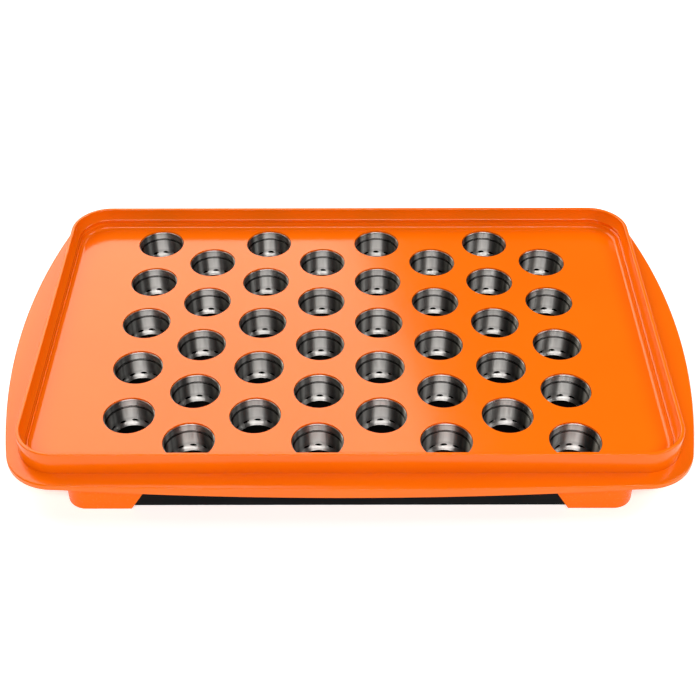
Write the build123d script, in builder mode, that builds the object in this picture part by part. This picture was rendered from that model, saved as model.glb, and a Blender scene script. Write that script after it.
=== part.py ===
from build123d import *
import os
from math import atan, degrees, hypot, sqrt

# Plug tray: a moulded frame on two end feet, a well deck, forty steel well liners and a water pan.
# Millimetres, +Z up. The origin is at the middle of the surface that the tray stands on,
# +X runs along the rows of wells, and +Y points away from the front.

# Well pattern: rows run along X, and every other row is shifted by half a column
row_count = 10
wells_in_row = 4
well_spacing = 60.0  # centre to centre, to each nearest neighbour

# Heights
deck_height = 37.6  # deck surface above the ground
rim_height = 18.6  # top of the rim above the deck
flange_drop = 1.4  # flange surface below the deck

# Well deck
end_land = 54.1  # from the last socket's wall to the deck's end
side_land = 4.2  # from the last socket's wall to the deck's front or back edge
deck_skin = 3.0
deck_corner = 27.5
edge_lip = 3.6  # height of the upturned edge above the deck
edge_wall = 1.2
cove_radius = 3.4  # between the deck and its upturned edge
deck_gap = 0.3  # around the deck, inside the rim

# Well sockets, moulded under the deck
socket_radius = 21.4
socket_wall = 2.2
seat_depth = 9.2  # from the deck surface down to the shelf that carries the liner
guide_depth = 4.0  # shelf, and the ring that guides the liner below it
rib_thickness = 1.6
rib_depth = 5.0

# Steel liners
liner_gap = 0.2  # radial, between a liner and its socket
liner_wall = 0.6
liner_sink = 1.3  # liner's mouth below the deck surface
step_inset = 0.8  # how much narrower the body is than the mouth
lead_in = 0.2  # radial, how far the bore opens up towards the step
lead_length = 2.4  # from the step's ledge down to where the bore runs straight
straight_depth = 21.5  # from the deck surface to the end of the straight wall
liner_depth = 27.2  # from the deck surface to the underside of the liner
foot_inset = 0.5  # how far the wall draws in below its straight part
foot_round = 2.0
opening_radius = 16.3
slot_count = 12
slot_width = 5.6
slot_height = 1.8
slot_rise = 2.3  # bottom of the slots above the liner's underside

# Frame
rim_thickness = 3.4
rim_draft = 2.9  # how far the rim's inner face leans out from the deck's edge to its top
rim_foot = 0.5  # how far the rim's outer face leans out from its top to the flange
rim_round = 1.1
grip_reach = 26.1  # flange beyond the rim at the middle of each end
front_reach = 18.1  # flange beyond the rim at the middle of the front and the back
grip_bow = 26.3  # how far the ends bow out
front_bow = 5.9  # how far the front and the back bow out
flange_corner = 43.6
flange_round = 1.4
ledge_thickness = 3.0
collar_gap = 0.4  # between the last sockets and the ledge
lip_depth = 9.2  # front edge at its middle, from the flange surface down
lip_thickness = 3.0
lip_end_inset = 66.5  # from the flange's end to where the lip's lower edge runs out
window_inset = 7.0  # end of the window under the deck, inside the feet

# End feet: each wraps round one end, and they leave a gate between them at the front and the back
feet_inset = 38.4  # feet's ends inside the rim's ends
feet_proud = 4.5  # feet's front beyond the rim's front
foot_wall = 3.0
foot_corner = 16.7
foot_length = 53.0  # along the ground, from the end to the gate
foot_lean = 0.6  # how far the gate's sides lean in, for each millimetre up

# Screws that hold the deck down, from below
screw_radius = 1.5
thread_gap = 0.05
screw_grip = 1.4  # how far a screw's hole runs on into the deck skin
screw_end_gap = 0.4
head_radius = 5.5
head_height = 2.0
recess_length = 5.0
recess_width = 1.0
recess_depth = 1.2
boss_wall = 2.6
boss_gap = 0.3  # around a boss, in its hole through the ledge
boss_relief = 0.2  # a boss stops this far above the ledge's underside
lug_radius = 9.0
lug_inset = 12.0  # screw centre inside the deck's front or back edge
end_screw_inset = 16.0  # screw centre inside the deck's end
end_screw_spacing = 110.0
end_screw_count = 3

# Water pan
pan_gap = 0.3  # around the pan, inside the feet
pan_wall = 2.2
pan_top_gap = 1.6  # between the pan's rim and the flange above it
pan_round = 0.8

# Sizes that follow from these
row_step = well_spacing / 2
column_step = well_spacing * sqrt(3)
pattern_length = (wells_in_row - 0.5) * column_step
pattern_width = (row_count - 1) * row_step

shelf_radius = socket_radius - step_inset
collar_radius = socket_radius + socket_wall
deck_bottom = deck_height - deck_skin
deck_length = pattern_length + 2 * (collar_radius + end_land)
deck_width = pattern_width + 2 * (collar_radius + side_land)
edge_top = deck_height + edge_lip

pocket_length = deck_length + 2 * deck_gap
pocket_width = deck_width + 2 * deck_gap
pocket_corner = deck_corner + deck_gap
rim_offset = rim_draft + rim_thickness
rim_length = pocket_length + 2 * rim_offset
rim_width = pocket_width + 2 * rim_offset
rim_corner = pocket_corner + rim_offset
rim_top = deck_height + rim_height

flange_top = deck_height - flange_drop
flange_bottom = deck_bottom - ledge_thickness
flange_half_length = rim_length / 2 + grip_reach
flange_half_width = rim_width / 2 + front_reach
lip_bottom = flange_top - lip_depth
lip_half_span = flange_half_length - lip_end_inset

feet_length = rim_length - 2 * feet_inset
feet_width = rim_width + 2 * feet_proud
window_length = feet_length - 2 * (foot_wall + window_inset)
window_width = pattern_width + 2 * (collar_radius + collar_gap)
gate_half_width = feet_length / 2 - foot_length
gate_half_top = gate_half_width - foot_lean * flange_bottom

mouth_radius = socket_radius - liner_gap
body_radius = mouth_radius - step_inset
boss_radius = screw_radius + boss_wall
boss_bottom = flange_bottom + boss_relief
pilot_top = deck_bottom + screw_grip


def well_places():
    """Centres of the wells, row by row from the back, each row from left to right."""
    places = []
    for row in range(row_count):
        shift = -0.25 if row % 2 == 0 else 0.25
        for column in range(wells_in_row):
            x = (column - (wells_in_row - 1) / 2 + shift) * column_step
            y = pattern_width / 2 - row * row_step
            places.append((x, y))
    return places


def rib_places(wells):
    """The middle of each two neighbouring wells, turned along the line between them."""
    places = []
    for i, (x1, y1) in enumerate(wells):
        for x2, y2 in wells[i + 1 :]:
            if hypot(x2 - x1, y2 - y1) < 1.01 * well_spacing:
                turn = Vector(1, 0).get_signed_angle(Vector(x2 - x1, y2 - y1))
                places.append(Location(((x1 + x2) / 2, (y1 + y2) / 2), turn))
    return places


def lug_places(wells):
    """Screw centres at the gaps in the last row of wells, along the back and the front edge."""
    y = deck_width / 2 - lug_inset
    back_row = wells[: wells_in_row - 1]
    front_row = wells[-wells_in_row + 1 :]
    places = [(x + column_step / 2, y) for x, _ in back_row]
    return places + [(x - column_step / 2, -y) for x, _ in front_row]


def end_screw_places():
    """Screw centres along the two ends of the deck."""
    x = deck_length / 2 - end_screw_inset
    middle = (end_screw_count - 1) / 2
    return [(side * x, (i - middle) * end_screw_spacing) for side in (-1, 1) for i in range(end_screw_count)]


def flange_outline():
    """The flange seen from above: four shallow arcs and round corners."""
    x = flange_half_length - grip_bow
    y = flange_half_width - front_bow
    with BuildSketch() as outline:
        with BuildLine():
            ThreePointArc((-x, -y), (0, -flange_half_width), (x, -y))
            ThreePointArc((x, -y), (flange_half_length, 0), (x, y))
            ThreePointArc((x, y), (0, flange_half_width), (-x, y))
            ThreePointArc((-x, y), (-flange_half_length, 0), (-x, -y))
        make_face()
        fillet(outline.vertices(), flange_corner)
    return outline.sketch


def write(piece, name):
    piece.label = name
    export_step(piece, f"parts/{name}.step")


os.makedirs("parts", exist_ok=True)
wells = well_places()
lugs = lug_places(wells)
screws = end_screw_places() + lugs
outline = flange_outline()

# Frame: flange with its grips, rim and ledge for the deck in one moulding
with BuildPart() as frame:
    # Lip that hangs from the edge of the flange
    with BuildSketch(Plane.XY.offset(lip_bottom)):
        add(outline)
        offset(outline, amount=-lip_thickness, mode=Mode.SUBTRACT)
    extrude(amount=flange_bottom - lip_bottom)

    # Its lower edge is an arc along the front and the back, and it ends before the corners
    with BuildSketch(Plane.XZ):
        with BuildLine():
            ThreePointArc((-lip_half_span, flange_bottom), (0, lip_bottom), (lip_half_span, flange_bottom))
            Polyline(
                (lip_half_span, flange_bottom),
                (flange_half_length, flange_bottom),
                (flange_half_length, 0),
                (-flange_half_length, 0),
                (-flange_half_length, flange_bottom),
                (-lip_half_span, flange_bottom),
            )
        make_face()
    extrude(amount=flange_half_width, both=True, mode=Mode.SUBTRACT)

    # Flange
    with BuildSketch(Plane.XY.offset(flange_bottom)):
        add(outline)
    extrude(amount=flange_top - flange_bottom)
    fillet(frame.faces().sort_by(Axis.Z)[-1].edges(), flange_round)

    # Rim, and the pocket inside it: straight around the deck, leaning out above
    with BuildSketch(Plane.XY.offset(flange_top)):
        RectangleRounded(rim_length + 2 * rim_foot, rim_width + 2 * rim_foot, rim_corner + rim_foot)
    extrude(amount=rim_top - flange_top, taper=degrees(atan(rim_foot / (rim_top - flange_top))))
    with BuildSketch(Plane.XY.offset(deck_bottom)):
        RectangleRounded(pocket_length, pocket_width, pocket_corner)
    extrude(amount=edge_top - deck_bottom, mode=Mode.SUBTRACT)
    with BuildSketch(Plane.XY.offset(edge_top)):
        RectangleRounded(pocket_length, pocket_width, pocket_corner)
    extrude(
        amount=rim_top - edge_top,
        taper=-degrees(atan(rim_draft / (rim_top - edge_top))),
        mode=Mode.SUBTRACT,
    )
    fillet(frame.faces().sort_by(Axis.Z)[-1].edges(), rim_round)

    # Window under the deck; a ledge stays around it, with lugs for the screws
    with BuildSketch(Plane.XY.offset(flange_bottom)):
        Rectangle(window_length, window_width)
        with Locations(*lugs):
            Circle(lug_radius, mode=Mode.SUBTRACT)
            Rectangle(2 * lug_radius, 2 * lug_inset, mode=Mode.SUBTRACT)
    extrude(amount=ledge_thickness, mode=Mode.SUBTRACT)
    with BuildSketch(Plane.XY.offset(flange_bottom)):
        with Locations(*screws):
            Circle(boss_radius + boss_gap)
    extrude(amount=ledge_thickness, mode=Mode.SUBTRACT)

write(frame.part, "frame")

# End feet: a wall round each end of the frame, cut off at a slant beside the gate
for name, side in (("foot_left", -1), ("foot_right", 1)):
    with BuildPart() as foot:
        with BuildSketch():
            RectangleRounded(feet_length, feet_width, foot_corner)
            RectangleRounded(
                feet_length - 2 * foot_wall,
                feet_width - 2 * foot_wall,
                foot_corner - foot_wall,
                mode=Mode.SUBTRACT,
            )
        extrude(amount=flange_bottom)
        with BuildSketch(Plane.XZ):
            with BuildLine():
                Polyline(
                    (side * gate_half_width, 0),
                    (side * feet_length, 0),
                    (side * feet_length, flange_bottom),
                    (side * gate_half_top, flange_bottom),
                    close=True,
                )
            make_face()
        extrude(amount=feet_width, both=True, mode=Mode.INTERSECT)
    write(foot.part, name)

# Deck: one moulding with the upturned edge, the sockets, the ribs and the screw bosses
with BuildPart() as deck_plate:
    with BuildSketch(Plane.XY.offset(deck_bottom)):
        RectangleRounded(deck_length, deck_width, deck_corner)
    extrude(amount=edge_top - deck_bottom)
    with BuildSketch(Plane.XY.offset(deck_height)):
        RectangleRounded(
            deck_length - 2 * edge_wall, deck_width - 2 * edge_wall, deck_corner - edge_wall
        )
    extrude(amount=edge_lip, mode=Mode.SUBTRACT)
    cove_edges = deck_plate.edges().filter_by_position(Axis.Z, deck_height - 0.1, deck_height + 0.1)
    fillet(cove_edges, cove_radius)

    with BuildSketch(Plane.XY.offset(deck_bottom)):
        with Locations(*wells):
            Circle(collar_radius)
    extrude(amount=deck_bottom - deck_height + seat_depth + guide_depth, dir=(0, 0, -1))
    with BuildSketch(Plane.XY.offset(deck_bottom)):
        with Locations(*rib_places(wells)):
            Rectangle(well_spacing - 2 * socket_radius - socket_wall, rib_thickness)
    extrude(amount=rib_depth, dir=(0, 0, -1))
    with BuildSketch(Plane.XY.offset(boss_bottom)):
        with Locations(*screws):
            Circle(boss_radius)
    extrude(amount=deck_bottom - boss_bottom)

    with BuildSketch(Plane.XY.offset(deck_height)):
        with Locations(*wells):
            Circle(socket_radius)
    extrude(amount=-seat_depth, mode=Mode.SUBTRACT)
    with BuildSketch(Plane.XY.offset(deck_height)):
        with Locations(*wells):
            Circle(shelf_radius)
    extrude(amount=-seat_depth - guide_depth, mode=Mode.SUBTRACT)
    with BuildSketch(Plane.XY.offset(boss_bottom)):
        with Locations(*screws):
            Circle(screw_radius + thread_gap)
    extrude(amount=pilot_top - boss_bottom, mode=Mode.SUBTRACT)

write(deck_plate.part, "deck_plate")

# Liner: a spun steel cup with a step that rests on the socket's shelf, and a ring of slots
mouth = deck_height - liner_sink
step = deck_height - seat_depth
lead_end = step + liner_wall - lead_length
straight_end = deck_height - straight_depth
underside = deck_height - liner_depth
with BuildPart() as liner:
    with BuildSketch(Plane.XZ) as profile:
        with BuildLine():
            Polyline(
                (mouth_radius - liner_wall, mouth),
                (mouth_radius, mouth),
                (mouth_radius, step),
                (body_radius, step),
                (body_radius, straight_end),
                (body_radius - foot_inset, underside),
                (opening_radius, underside),
                (opening_radius, underside + liner_wall),
                (body_radius - foot_inset - liner_wall, underside + liner_wall),
                (body_radius - liner_wall, straight_end),
                (body_radius - liner_wall, lead_end),
                (body_radius - liner_wall + lead_in, step + liner_wall),
                (mouth_radius - liner_wall, step + liner_wall),
                close=True,
            )
        make_face()
        low_corners = profile.vertices().filter_by_position(Axis.Y, underside, underside + liner_wall)
        inner_corner, outer_corner = low_corners.sort_by(Axis.X)[-2:]
        fillet(inner_corner, foot_round)
        fillet(outer_corner, foot_round + liner_wall)
    revolve(axis=Axis.Z)
    with BuildSketch(Plane.XY.offset(underside + slot_rise)):
        with PolarLocations(body_radius, slot_count):
            Rectangle(8 * liner_wall, slot_width)
    extrude(amount=slot_height, mode=Mode.SUBTRACT)

for number, (x, y) in enumerate(wells, 1):
    write(liner.part.moved(Location((x, y, 0))), f"liner_{number:02d}")

# Screws: washer head under the ledge, cross recess, plain shank
with BuildPart() as deck_screws:
    with BuildSketch(Plane.XY.offset(flange_bottom - head_height)):
        with Locations(*screws):
            Circle(head_radius)
    extrude(amount=head_height)
    with BuildSketch(Plane.XY.offset(flange_bottom)):
        with Locations(*screws):
            Circle(screw_radius)
    extrude(amount=pilot_top - screw_end_gap - flange_bottom)
    with BuildSketch(Plane.XY.offset(flange_bottom - head_height)):
        with Locations(*screws):
            Rectangle(recess_length, recess_width)
            Rectangle(recess_width, recess_length)
    extrude(amount=recess_depth, mode=Mode.SUBTRACT)

write(deck_screws.part, "deck_screws")

# Water pan: an open tray that stands on the ground inside the feet
pan_inset = foot_wall + pan_gap
pan_height = flange_bottom - pan_top_gap
pan_length = feet_length - 2 * pan_inset
pan_width = feet_width - 2 * pan_inset
pan_corner = foot_corner - pan_inset
with BuildPart() as water_pan:
    with BuildSketch():
        RectangleRounded(pan_length, pan_width, pan_corner)
    extrude(amount=pan_height)
    fillet(water_pan.faces().sort_by(Axis.Z)[0].edges(), pan_round)
    with BuildSketch(Plane.XY.offset(pan_wall)):
        RectangleRounded(pan_length - 2 * pan_wall, pan_width - 2 * pan_wall, pan_corner - pan_wall)
    extrude(amount=pan_height - pan_wall, mode=Mode.SUBTRACT)
    floor_edges = water_pan.edges().filter_by_position(Axis.Z, pan_wall - 0.1, pan_wall + 0.1)
    fillet(floor_edges.filter_by(lambda edge: abs(edge.center().Z - pan_wall) < 0.01), pan_round)

write(water_pan.part, "water_pan")
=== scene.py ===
from math import atan2, cos, pi, radians, sin

import bmesh
import bpy
from mathutils import Matrix, Vector


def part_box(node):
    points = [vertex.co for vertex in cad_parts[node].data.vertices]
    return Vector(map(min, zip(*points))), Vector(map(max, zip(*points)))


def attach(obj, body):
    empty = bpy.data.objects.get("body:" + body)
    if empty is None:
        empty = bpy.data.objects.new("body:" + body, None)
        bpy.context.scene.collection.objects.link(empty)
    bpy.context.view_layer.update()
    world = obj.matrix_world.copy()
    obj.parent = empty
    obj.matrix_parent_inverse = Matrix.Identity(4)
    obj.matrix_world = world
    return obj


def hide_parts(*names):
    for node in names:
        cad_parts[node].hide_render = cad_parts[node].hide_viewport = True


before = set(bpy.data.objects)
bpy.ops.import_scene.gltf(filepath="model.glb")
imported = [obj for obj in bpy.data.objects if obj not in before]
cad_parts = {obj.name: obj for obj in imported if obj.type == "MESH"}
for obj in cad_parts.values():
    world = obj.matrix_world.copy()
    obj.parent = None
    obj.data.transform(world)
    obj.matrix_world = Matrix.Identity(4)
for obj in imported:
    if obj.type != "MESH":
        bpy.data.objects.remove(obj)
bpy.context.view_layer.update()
millimetre = 0.001
scene = bpy.context.scene
scene.view_settings.view_transform = "Standard"


# Helpers used by every piece

def makeObject(name, verts, faces):
    mesh = bpy.data.meshes.new(name)
    mesh.from_pydata([Vector(v) * millimetre for v in verts], [], faces)
    mesh.validate()
    mesh.update()
    made = bpy.data.objects.new(name, mesh)
    scene.collection.objects.link(made)
    return made


def shadeSmooth(piece, angle):
    piece.data.polygons.foreach_set("use_smooth", [True] * len(piece.data.polygons))
    piece.data.set_sharp_from_angle(angle=radians(angle))


def newMaterial(name):
    made = bpy.data.materials.new(name)
    made.use_nodes = True
    tree = made.node_tree
    return made, tree, tree.nodes["Principled BSDF"]


def addNoise(tree, scale, detail, stretch=(1, 1, 1)):
    coords = tree.nodes.new("ShaderNodeTexCoord")
    mapping = tree.nodes.new("ShaderNodeMapping")
    mapping.inputs["Scale"].default_value = stretch
    noise = tree.nodes.new("ShaderNodeTexNoise")
    noise.inputs["Scale"].default_value = scale
    noise.inputs["Detail"].default_value = detail
    tree.links.new(coords.outputs["Object"], mapping.inputs["Vector"])
    tree.links.new(mapping.outputs["Vector"], noise.inputs["Vector"])
    return noise.outputs["Fac"]


def spread(tree, source, low, high, target):
    ranged = tree.nodes.new("ShaderNodeMapRange")
    ranged.inputs["From Min"].default_value = 0.3
    ranged.inputs["From Max"].default_value = 0.7
    ranged.inputs["To Min"].default_value = low
    ranged.inputs["To Max"].default_value = high
    tree.links.new(source, ranged.inputs["Value"])
    tree.links.new(ranged.outputs["Result"], target)


def blendColours(tree, source, first, second, target):
    ramp = tree.nodes.new("ShaderNodeValToRGB")
    ramp.color_ramp.elements[0].position = 0.35
    ramp.color_ramp.elements[1].position = 0.65
    ramp.color_ramp.elements[0].color = (*first, 1)
    ramp.color_ramp.elements[1].color = (*second, 1)
    tree.links.new(source, ramp.inputs["Fac"])
    tree.links.new(ramp.outputs["Color"], target)


def addBump(tree, shader, source, distance, strength):
    bump = tree.nodes.new("ShaderNodeBump")
    bump.inputs["Distance"].default_value = distance
    bump.inputs["Strength"].default_value = strength
    tree.links.new(source, bump.inputs["Height"])
    tree.links.new(bump.outputs["Normal"], shader.inputs["Normal"])


# Finishes

def greyRamp(tree, source, stops):
    ramp = tree.nodes.new("ShaderNodeValToRGB")
    points = ramp.color_ramp.elements
    while len(points) < len(stops):
        points.new(0.5)
    for point, (place, grey) in zip(points, stops):
        point.position = place
        point.color = (grey, grey, grey, 1)
    tree.links.new(source, ramp.inputs["Fac"])
    return ramp.outputs["Color"]


def paintLightBandsOnSteel(tree, shader, look):
    # painted highlight and shade: brighter and darker bands multiplied into the steel's colour, around the
    # wall and along it, stand in for finer reflections and for the shade in the creases under the step and
    # below the mouth
    source = shader.inputs["Base Color"].links[0].from_socket
    place = tree.nodes.new("ShaderNodeUVMap")
    place.uv_map = "turning"
    split = tree.nodes.new("ShaderNodeSeparateXYZ")
    tree.links.new(place.outputs["UV"], split.inputs["Vector"])
    for output, stops in (("Y", look["aroundPaintedLight"]), ("X", look["heightPaintedShade"])):
        mix = tree.nodes.new("ShaderNodeMix")
        mix.data_type, mix.blend_type = "RGBA", "MULTIPLY"
        mix.inputs["Factor"].default_value = 1
        # sockets 6 and 7 are the two colours, and output 2 is their product
        tree.links.new(source, mix.inputs[6])
        tree.links.new(greyRamp(tree, split.outputs[output], stops), mix.inputs[7])
        source = mix.outputs[2]
    tree.links.new(source, shader.inputs["Base Color"])


def makeFinish(name, look):
    made, tree, shader = newMaterial(name)
    shader.inputs["Metallic"].default_value = look["metallic"]
    shader.inputs["IOR"].default_value = look["ior"]
    soft = addNoise(tree, look["patchScale"], 3, look["stretch"])
    fine = addNoise(tree, look["grainScale"], 4, look["stretch"])
    blendColours(tree, soft, look["colour"], look["secondColour"], shader.inputs["Base Color"])
    shader.inputs["Specular IOR Level"].default_value = look["specular"]
    if "turned" in look:
        paintLightBandsOnSteel(tree, shader, look)
        shader.inputs["Anisotropic"].default_value = look["turned"]
        along = tree.nodes.new("ShaderNodeTangent")
        along.direction_type = "UV_MAP"
        along.uv_map = "turning"
        tree.links.new(along.outputs["Tangent"], shader.inputs["Tangent"])
    spread(tree, fine, look["roughLow"], look["roughHigh"], shader.inputs["Roughness"])
    addBump(tree, shader, fine, look["grainDepth"], look["grainStrength"])
    return made


orangeLook = dict(
    colour=(0.92, 0.153, 0.0008), secondColour=(0.94, 0.163, 0.0012), metallic=0, ior=1.5, specular=0.32,
    patchScale=9, grainScale=420, stretch=(1, 1, 1),
    roughLow=0.10, roughHigh=0.17, grainDepth=0.00003, grainStrength=0.12,
)
steelLook = dict(
    colour=(0.8, 0.785, 0.77), secondColour=(1, 0.985, 0.97), metallic=1, ior=2.5, specular=0.5, turned=1.0,
    patchScale=150, grainScale=900, stretch=(1, 1, 0.06),  # streaks run up the wall
    roughLow=0.36, roughHigh=0.5, grainDepth=0.00002, grainStrength=0.2,
    # the ramp around the wall is a painted highlight and shade: a bright band at the back of each wall, dark
    # bands at its sides
    aroundPaintedLight=((0, 1), (0.055, 0.95), (0.1, 0.5), (0.15, 0.08), (0.19, 0.3), (0.23, 0.1), (0.32, 0.22),
                 (0.5, 0.5), (0.68, 0.22), (0.76, 0.12), (0.8, 0.35), (0.84, 0.08), (0.9, 0.5),
                 (0.945, 0.95), (1, 1)),
    # the ramp along the height is painted shade: dark lines just under the step and just below the mouth,
    # with milder darker rows between
    heightPaintedShade=((0, 0.9), (0.1, 1), (0.2, 0.75), (0.3, 0.95), (0.665, 0.85), (0.69, 0.05), (0.71, 0.08),
                 (0.73, 1), (0.93, 1), (0.945, 0.3), (0.955, 0.3), (0.965, 1)),
)
blackLook = dict(
    colour=(0.003, 0.0037, 0.004), secondColour=(0.006, 0.0066, 0.007), metallic=0, ior=1.48, specular=0.05,
    patchScale=14, grainScale=1400, stretch=(1, 1, 1),
    roughLow=0.42, roughHigh=0.56, grainDepth=0.00006, grainStrength=0.4,
)
zincLook = dict(
    colour=(0.50, 0.50, 0.47), secondColour=(0.60, 0.58, 0.50), metallic=1, ior=2.5, specular=0.5,
    patchScale=300, grainScale=1600, stretch=(1, 1, 1),
    roughLow=0.30, roughHigh=0.42, grainDepth=0.00002, grainStrength=0.25,
)
frameOrange = makeFinish("orangeFramePlastic", dict(orangeLook, specular=0.3, roughLow=0.12, roughHigh=0.19))
footOrange = makeFinish("orangeFootPlastic", dict(orangeLook, specular=0.1, roughLow=0.2, roughHigh=0.3))
deckOrange = makeFinish("orangeDeckPlastic", orangeLook)
linerSteel = makeFinish("spunLinerSteel", steelLook)
blackPlastic = makeFinish("grainedBlackPlastic", blackLook)
zincSteel = makeFinish("zincPlatedSteel", zincLook)
print("finishes made")


# Repeats: one tree that stands a copy of an object on every point

def makeRepeatTree():
    tree = bpy.data.node_groups.new("standOnPoints", "GeometryNodeTree")
    face = tree.interface
    face.new_socket("Geometry", in_out="INPUT", socket_type="NodeSocketGeometry")
    face.new_socket("Copied", in_out="INPUT", socket_type="NodeSocketObject")
    face.new_socket("Size", in_out="INPUT", socket_type="NodeSocketFloat").default_value = 1
    face.new_socket("Turn Spread", in_out="INPUT", socket_type="NodeSocketFloat")
    face.new_socket("Seed", in_out="INPUT", socket_type="NodeSocketInt").default_value = 7
    face.new_socket("Finish", in_out="INPUT", socket_type="NodeSocketMaterial")
    face.new_socket("Geometry", in_out="OUTPUT", socket_type="NodeSocketGeometry")
    new, link = tree.nodes.new, tree.links.new
    given, result = new("NodeGroupInput"), new("NodeGroupOutput")
    copied = new("GeometryNodeObjectInfo")
    copied.inputs["As Instance"].default_value = True
    turn = new("FunctionNodeRandomValue")
    negative = new("ShaderNodeMath")
    negative.operation = "MULTIPLY"
    negative.inputs[1].default_value = -1
    aim = new("ShaderNodeCombineXYZ")
    stand, realize = new("GeometryNodeInstanceOnPoints"), new("GeometryNodeRealizeInstances")
    paint = new("GeometryNodeSetMaterial")
    link(given.outputs["Copied"], copied.inputs["Object"])
    link(given.outputs["Turn Spread"], negative.inputs[0])
    floats = [s for s in turn.inputs if s.type == "VALUE"]
    link(negative.outputs[0], floats[0])
    link(given.outputs["Turn Spread"], floats[1])
    link(given.outputs["Seed"], turn.inputs["Seed"])
    link([s for s in turn.outputs if s.type == "VALUE"][0], aim.inputs["Z"])
    link(given.outputs["Geometry"], stand.inputs["Points"])
    link(copied.outputs["Geometry"], stand.inputs["Instance"])
    link(aim.outputs["Vector"], stand.inputs["Rotation"])
    link(given.outputs["Size"], stand.inputs["Scale"])
    link(stand.outputs["Instances"], realize.inputs["Geometry"])
    link(realize.outputs["Geometry"], paint.inputs["Geometry"])
    link(given.outputs["Finish"], paint.inputs["Material"])
    link(paint.outputs["Geometry"], result.inputs["Geometry"])
    return tree


repeatTree = makeRepeatTree()


def standOnPoints(name, points, copied, finish, turnSpread=0.0, seed=7):
    carrier = makeObject(name + "Points", points, [])
    modifier = carrier.modifiers.new("standOnPoints", "NODES")
    modifier.node_group = repeatTree
    values = {"Copied": copied, "Size": 1.0, "Turn Spread": turnSpread, "Seed": seed, "Finish": finish}
    for socket in repeatTree.interface.items_tree:
        if socket.in_out == "INPUT" and socket.name in values:
            modifier[socket.identifier] = values[socket.name]
    bpy.context.view_layer.update()
    evaluated = carrier.evaluated_get(bpy.context.evaluated_depsgraph_get())
    mesh = bpy.data.meshes.new_from_object(evaluated)
    mesh.name = name
    piece = bpy.data.objects.new(name, mesh)
    scene.collection.objects.link(piece)
    bpy.data.objects.remove(carrier)
    bpy.data.objects.remove(copied)
    return piece


# Well liners

linerSizes = dict(
    segments=84, slotCount=12, slotColumns=2, groove=0.6,
    slotHalfHeights=(1.35, 1.15, 0.35), slotMiddle=3.2,  # middle of the slots above the underside
    bodyRadius=19.8, wall=0.6, edge=0.15, stepDrop=7.3, openingRadius=16.3,
)


def linerRows(low, high, sizes):
    # radius, height, and which edge of the slots the row follows: 1 upper, -1 lower, 0 neither
    r, wall, edge = sizes["bodyRadius"], sizes["wall"], sizes["edge"]
    mouth = (high.x - low.x) / 2 / millimetre
    top, bottom = high.z / millimetre, low.z / millimetre
    step = top - sizes["stepDrop"]
    slot = bottom + sizes["slotMiddle"]
    opening, foot = sizes["openingRadius"], r - 0.5
    return [
        (mouth - wall / 2, top, 0),
        (mouth - wall - 0.1, top - edge, 0),
        (mouth - wall - 0.3, top - edge * 4, 0),
        (mouth - wall, top - edge * 7, 0),
        (mouth - wall, step + sizes["groove"], 0),
        (mouth - wall + sizes["groove"], step, 0),
        (r + 0.25, step, 0),
        (r + 0.1, step - 0.2, 0),
        (r, step - 2.0, 0),
        (r, bottom + 5.7, 0),
        (r - 0.15, slot, 1),
        (r - 0.15, slot, -1),
        (foot + 0.05, bottom + 2.0, 0),
        (foot - 0.5, bottom + 1.15, 0),
        (foot - 1.5, bottom + 0.7, 0),
        (opening + 0.2, bottom + wall, 0),
        (opening, bottom + wall - 0.2, 0),
        (opening, bottom + 0.2, 0),
        (opening + 0.2, bottom, 0),
        (foot - 1.4, bottom, 0),
        (foot - 0.1, bottom + 0.55, 0),
        (foot + 0.5, bottom + 1.8, 0),
        (r + wall - 0.15, slot, -1),
        (r + wall - 0.15, slot, 1),
        (r + wall, step - wall, 0),
        (mouth - edge, step - wall, 0),
        (mouth, step - wall + edge, 0),
        (mouth, top - edge * 2, 0),
    ]


def inSlot(j, sizes):
    period, reach = sizes["segments"] // sizes["slotCount"], sizes["slotColumns"]
    return j % period < reach or j % period >= period - reach


def makeLiner(low, high, sizes):
    rows = linerRows(low, high, sizes)
    count, period = sizes["segments"], sizes["segments"] // sizes["slotCount"]
    reach = sizes["slotColumns"]
    verts, faces = [], []
    for radius, z, side in rows:
        for j in range(count):
            offset = min(j % period, period - j % period)
            halfHeight = sizes["slotHalfHeights"][min(offset, reach)]
            angle = pi / 2 + 2 * pi * j / count
            verts.append((radius * cos(angle), radius * sin(angle), z + side * halfHeight))
    marked = [i for i, row in enumerate(rows) if row[2]]
    innerTop, innerLow, outerLow, outerTop = marked

    def at(i, j):
        return (i % len(rows)) * count + j % count

    for i in range(len(rows)):
        for j in range(count):
            if inSlot(j, sizes) and i in (innerTop, outerLow):
                continue
            faces.append((at(i, j), at(i, j + 1), at(i + 1, j + 1), at(i + 1, j)))
    for j in range(count):
        place = j % period
        if inSlot(j, sizes):
            faces.append((at(innerTop, j), at(innerTop, j + 1), at(outerTop, j + 1), at(outerTop, j)))
            faces.append((at(outerLow, j), at(outerLow, j + 1), at(innerLow, j + 1), at(innerLow, j)))
        if place == reach:
            faces.append((at(innerTop, j), at(outerTop, j), at(outerLow, j), at(innerLow, j)))
        if place == period - reach:
            faces.append((at(innerTop, j), at(innerLow, j), at(outerLow, j), at(outerTop, j)))
    made = makeObject("linerCopied", verts, faces)
    turning = made.data.uv_layers.new(name="turning")
    heights = [z for _, z, _ in rows]
    bottom, height = min(heights) * millimetre, (max(heights) - min(heights)) * millimetre
    for polygon in made.data.polygons:
        for corner in polygon.loop_indices:
            vertex = made.data.loops[corner].vertex_index
            around = (vertex % count) / count
            if around == 0 and polygon.center.x > 0:
                around = 1.0
            turning.data[corner].uv = ((made.data.vertices[vertex].co.z - bottom) / height, around)
    fixNormals(made)
    shadeSmooth(made, 38)
    return made


def fixNormals(piece):
    work = bmesh.new()
    work.from_mesh(piece.data)
    bmesh.ops.recalc_face_normals(work, faces=work.faces)
    work.to_mesh(piece.data)
    work.free()


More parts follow.
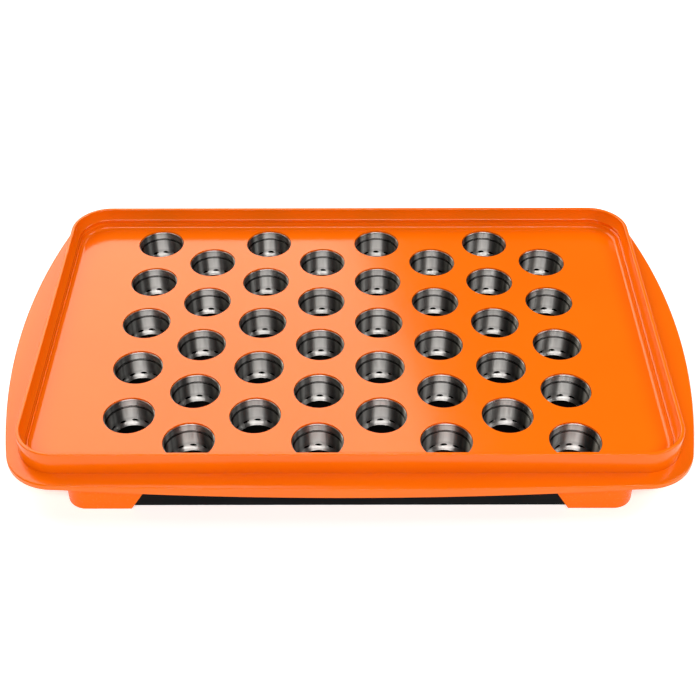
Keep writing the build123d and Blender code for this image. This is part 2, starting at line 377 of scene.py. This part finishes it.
linerNames = sorted(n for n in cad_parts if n.startswith("liner_"))
linerBoxes = [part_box(n) for n in linerNames]
wellPoints = [((a.x + b.x) / 2 / millimetre, (a.y + b.y) / 2 / millimetre, 0) for a, b in linerBoxes]
wellLiners = standOnPoints("wellLiners", wellPoints, makeLiner(*linerBoxes[0], linerSizes), linerSteel)
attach(wellLiners, "tray")
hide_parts(*linerNames)
print("well liners made,", len(wellPoints))


# Deck screws, seen only from below

screwSizes = dict(segments=32, headRadius=5.5, headHeight=2.0, round=0.5, shankRadius=1.5, seed=11)


def makeScrew(low, high, sizes):
    count, edge = sizes["segments"], sizes["round"]
    bottom, top = low.z / millimetre, high.z / millimetre
    head = bottom + sizes["headHeight"]
    rows = [
        (sizes["headRadius"] * 0.45, bottom + edge * 1.6),  # hollow for the driver
        (sizes["headRadius"] * 0.5, bottom),
        (sizes["headRadius"] - edge, bottom),
        (sizes["headRadius"] - edge * 0.3, bottom + edge * 0.3),
        (sizes["headRadius"], bottom + edge),
        (sizes["headRadius"], head),
        (sizes["shankRadius"], head),
        (sizes["shankRadius"], top - edge),
        (sizes["shankRadius"] * 0.7, top),
    ]
    turns = [2 * pi * j / count for j in range(count)]
    verts = [(r * cos(turn), r * sin(turn), z) for r, z in rows for turn in turns]
    faces = [tuple(range(count)), tuple(range(len(verts) - count, len(verts)))]
    for i in range(len(rows) - 1):
        for j in range(count):
            k = (j + 1) % count
            faces.append((i * count + j, i * count + k, (i + 1) * count + k, (i + 1) * count + j))
    made = makeObject("screwCopied", verts, faces)
    fixNormals(made)
    shadeSmooth(made, 35)
    return made


def screwPoints():
    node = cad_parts["deck_screws"]
    low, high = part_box("deck_screws")
    tops = [v.co for v in node.data.vertices if v.co.z > high.z - millimetre * 0.1]
    groups = []
    for point in tops:
        near = [g for g in groups if (g[0] - point).length < screwSizes["headRadius"] * millimetre]
        if near:
            near[0].append(point)
        else:
            groups.append([point.copy()])
    centres = []
    for group in groups:
        xs, ys = [p.x for p in group], [p.y for p in group]
        centres.append(((min(xs) + max(xs)) / 2 / millimetre, (min(ys) + max(ys)) / 2 / millimetre, 0))
    return centres


screwPlaces = screwPoints()
deckScrews = standOnPoints("deckScrews", screwPlaces, makeScrew(*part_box("deck_screws"), screwSizes),
                           zincSteel, turnSpread=pi, seed=screwSizes["seed"])
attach(deckScrews, "tray")
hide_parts("deck_screws")
print("deck screws made,", len(screwPlaces))


# Tray frame: one closed loft of smooth outlines, with the lugs and screw holes cut in

frameSizes = dict(
    bowX=26.3, bowY=5.9, corner=43.6, edgeRound=1.4, underside=31.6, flangeTop=36.2,
    lipWall=3.0, lipInset=66.5, lipRest=0.05, pocketGap=0.3, pocketCorner=27.8, pocketTurn=41.2,
    rimLean=2.9, rimWall=3.4, rimFoot=0.5, rimRound=1.1, windowX=217.77, windowY=159.0, windowCorner=2.0,
    wallStrip=((1.0, 46.0), (0.3, 45.4), (0.3, 45.1), (1.0, 44.6), (1.0, 41.9)),  # lean, height
    ledge=3.0, lugRadius=9.0, bossHole=4.4, endSteps=40, cornerSteps=28, frontSteps=48, roundSteps=5,
)


def arcPoints(cx, cy, radius, start, end, steps):
    turns = [start + (end - start) * i / steps for i in range(steps)]
    return [(cx + radius * cos(t), cy + radius * sin(t)) for t in turns]


def mirrorQuarter(quarter, topPoint):
    upper = quarter + [topPoint] + [(-x, y) for x, y in reversed(quarter[1:])]
    return upper + [(-x, -y) for x, y in upper]


def roundedLoop(halfX, halfY, corner, sizes):
    straightY, straightX = halfY - corner, halfX - corner
    side = [(halfX, straightY * i / sizes["endSteps"]) for i in range(sizes["endSteps"])]
    turn = arcPoints(straightX, straightY, corner, 0, pi / 2, sizes["cornerSteps"])
    front = [(straightX * (1 - i / sizes["frontSteps"]), halfY) for i in range(sizes["frontSteps"])]
    return mirrorQuarter(side + turn + front, (0, halfY))


def bowedLoop(halfX, halfY, inset, sizes):
    bowX, bowY, corner = sizes["bowX"], sizes["bowY"], sizes["corner"]
    endRadius = ((halfY - bowY) ** 2 + bowX ** 2) / (2 * bowX)
    frontRadius = ((halfX - bowX) ** 2 + bowY ** 2) / (2 * bowY)
    ex, fy = halfX - endRadius, halfY - frontRadius
    # the corner's centre is where two circles round the other centres cross
    near, far = endRadius - corner, frontRadius - corner
    gap = (ex ** 2 + fy ** 2) ** 0.5
    along = (near ** 2 - far ** 2 + gap ** 2) / (2 * gap)
    off = (near ** 2 - along ** 2) ** 0.5
    ux, uy = -ex / gap, fy / gap
    options = [(ex + along * ux - k * off * uy, along * uy + k * off * ux) for k in (-1, 1)]
    cx, cy = max(options, key=lambda point: point[0] + point[1])
    first, second = atan2(cy, cx - ex), atan2(cy - fy, cx)
    side = arcPoints(ex, 0, endRadius - inset, 0, first, sizes["endSteps"])
    turn = arcPoints(cx, cy, corner - inset, first, second, sizes["cornerSteps"])
    front = arcPoints(0, fy, frontRadius - inset, second, pi / 2, sizes["frontSteps"])
    return mirrorQuarter(side + turn + front, (0, halfY - inset))


def lipDrop(x, span, depth):
    radius = (depth ** 2 + span ** 2) / (2 * depth)
    if abs(x) >= span:
        return 0
    return (radius ** 2 - x ** 2) ** 0.5 - (radius - depth)


def frameLoops(sizes):
    low, high = [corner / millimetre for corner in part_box("frame")]
    deckLow, deckHigh = [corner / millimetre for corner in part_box("deck_plate")]
    halfX, halfY = high.x, high.y
    pocketX, pocketY = deckHigh.x + sizes["pocketGap"], deckHigh.y + sizes["pocketGap"]
    under, flangeTop, top = sizes["underside"], sizes["flangeTop"], high.z
    span, depth = halfX - sizes["lipInset"], under - low.z
    lean, wall, curve = sizes["rimLean"], sizes["rimWall"], sizes["rimRound"]
    loops = []

    def add(points, z):
        loops.append([(x, y, z) for x, y in points])

    def addLip(inset):
        points = bowedLoop(halfX, halfY, inset, sizes)
        loops.append([(x, y, under - max(lipDrop(x, span, depth), sizes["lipRest"])) for x, y in points])

    def addRounded(grow, z):
        add(roundedLoop(pocketX + grow, pocketY + grow, sizes["pocketCorner"] + grow, sizes), z)

    window = roundedLoop(sizes["windowX"], sizes["windowY"], sizes["windowCorner"], sizes)
    add(window, under)
    add(bowedLoop(halfX, halfY, sizes["lipWall"], sizes), under)
    addLip(sizes["lipWall"])
    addLip(0)
    for i in range(sizes["roundSteps"] + 1):
        turn, edge = pi / 2 * i / sizes["roundSteps"], sizes["edgeRound"]
        add(bowedLoop(halfX, halfY, edge * (1 - cos(turn)), sizes), flangeTop - edge * (1 - sin(turn)))
    addRounded(lean + wall + sizes["rimFoot"], flangeTop)
    for i in range(sizes["roundSteps"] + 1):
        turn = pi / 2 * i / sizes["roundSteps"]
        addRounded(lean + wall - curve * (1 - cos(turn)), top - curve * (1 - sin(turn)))
    for i in range(sizes["roundSteps"], -1, -1):
        turn = pi / 2 * i / sizes["roundSteps"]
        addRounded(lean + curve * (1 - cos(turn)), top - curve * (1 - sin(turn)))
    for offset, z in sizes["wallStrip"]:
        addRounded(offset, z)
    addRounded(0, sizes["pocketTurn"])
    addRounded(0, under + sizes["ledge"])
    add(window, under + sizes["ledge"])
    return loops


def loftLoops(name, loops):
    count = len(loops[0])
    verts = [point for loop in loops for point in loop]
    faces = []
    for i in range(len(loops)):
        k = (i + 1) % len(loops)
        for j in range(count):
            m = (j + 1) % count
            faces.append((i * count + j, i * count + m, k * count + m, k * count + j))
    made = makeObject(name, verts, faces)
    fixNormals(made)
    return made


def joinedPrisms(name, outlines, low, high):
    verts, faces = [], []
    for outline in outlines:
        start, count = len(verts), len(outline)
        verts += [(x, y, low) for x, y in outline] + [(x, y, high) for x, y in outline]
        faces.append(tuple(range(start + count - 1, start - 1, -1)))
        faces.append(tuple(range(start + count, start + 2 * count)))
        for j in range(count):
            m = (j + 1) % count
            faces.append((start + j, start + m, start + count + m, start + count + j))
    made = makeObject(name, verts, faces)
    fixNormals(made)
    return made


def cutWith(piece, tool, operation):
    modifier = piece.modifiers.new("cut", "BOOLEAN")
    modifier.operation, modifier.object, modifier.solver = operation, tool, "EXACT"
    bpy.context.view_layer.update()
    mesh = bpy.data.meshes.new_from_object(piece.evaluated_get(bpy.context.evaluated_depsgraph_get()))
    piece.modifiers.clear()
    piece.data = mesh
    bpy.data.objects.remove(tool)


def lugOutline(x, y, sizes):
    radius, side = sizes["lugRadius"], 1 if y > 0 else -1
    reach = sizes["windowY"] + 2
    nose = [(x - side * radius * cos(pi * i / 24), y - side * radius * sin(pi * i / 24)) for i in range(25)]
    return nose + [(x + side * radius, side * reach), (x - side * radius, side * reach)]


def makeTrayFrame(sizes):
    made = loftLoops("trayFrame", frameLoops(sizes))
    under, ledgeTop = sizes["underside"], sizes["underside"] + sizes["ledge"]
    lugs = [lugOutline(x, y, sizes) for x, y, _ in screwPlaces if abs(x) < sizes["windowX"]]
    cutWith(made, joinedPrisms("lugs", lugs, under, ledgeTop), "UNION")
    holes = [arcPoints(x, y, sizes["bossHole"], 0, 2 * pi, 32) for x, y, _ in screwPlaces]
    cutWith(made, joinedPrisms("holes", holes, under - 1, ledgeTop + 1), "DIFFERENCE")
    shadeSmooth(made, 40)
    made.data.materials.clear()
    made.data.materials.append(frameOrange)
    return made


trayFrame = makeTrayFrame(frameSizes)
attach(trayFrame, "tray")
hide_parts("frame")
print("tray frame made,", len(trayFrame.data.polygons))


# Pieces kept from the frame

def paintNode(name, finish):
    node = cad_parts[name]
    node.data.materials.clear()
    node.data.materials.append(finish)


for name in ("foot_left", "foot_right"):
    paintNode(name, footOrange)
paintNode("deck_plate", deckOrange)
paintNode("water_pan", blackPlastic)
print("kept nodes painted")


# Floor, lights and camera

roomLook = dict(
    floorHalf=6000, floorHeight=-0.3,  # under the undersides, so the two never share a plane
    floorColour=(0.87, 0.86, 0.84, 1), floorRough=0.9, floorGlow=0.5, worldStrength=0.08,
)


def makeFloor(look):
    half, low = look["floorHalf"], look["floorHeight"]
    corners = [(-half, -half, low), (half, -half, low), (half, half, low), (-half, half, low)]
    floor = makeObject("floor", corners, [(0, 1, 2, 3)])
    made, tree, shader = newMaterial("paleFloor")
    shader.inputs["Base Color"].default_value = look["floorColour"]
    shader.inputs["Roughness"].default_value = look["floorRough"]
    shader.inputs["Emission Color"].default_value = (1, 1, 1, 1)
    shader.inputs["Emission Strength"].default_value = look["floorGlow"]
    floor.data.materials.append(made)


def addPanel(name, place, aim, size, power, colour):
    light = bpy.data.lights.new(name, "AREA")
    light.shape = "RECTANGLE"
    light.size, light.size_y = size
    light.energy = power
    light.color = colour
    lamp = bpy.data.objects.new(name, light)
    scene.collection.objects.link(lamp)
    lamp.location = place
    lamp.rotation_euler = (Vector(aim) - Vector(place)).to_track_quat("-Z", "Y").to_euler()


lightPanels = [
    ("backLeftPanel", (-1.15, 1.75, 1.85), (-0.05, 0, 0.03), (2.9, 2.0), 76, (1, 0.95, 0.80)),
    ("frontPanel", (0, -1.7, 1.75), (0, 0, 0), (2.1, 0.5), 36, (1, 0.98, 0.95)),
    ("rightPanel", (1.5, 0.1, 1.5), (0, 0, 0), (0.8, 0.8), 15, (1, 0.99, 0.95)),
]
cameraSetting = dict(place=(0.0002, -0.8609, 0.7572), tilt=49.348, roll=-0.083, lens=65.10)


def makeCamera(setting):
    camera = bpy.data.objects.new("camera", bpy.data.cameras.new("camera"))
    scene.collection.objects.link(camera)
    camera.location = setting["place"]
    tilt = Matrix.Rotation(radians(setting["tilt"]), 3, "X")
    roll = Matrix.Rotation(radians(setting["roll"]), 3, "Z")
    camera.rotation_euler = (tilt @ roll).to_euler()
    camera.data.sensor_width = 36
    camera.data.lens = setting["lens"]
    scene.camera = camera


makeFloor(roomLook)
for panel in lightPanels:
    addPanel(*panel)
world = bpy.data.worlds.new("softRoom")
world.use_nodes = True
world.node_tree.nodes["Background"].inputs["Color"].default_value = (1, 1, 1, 1)
world.node_tree.nodes["Background"].inputs["Strength"].default_value = roomLook["worldStrength"]
scene.world = world
makeCamera(cameraSetting)

print("scene ready")
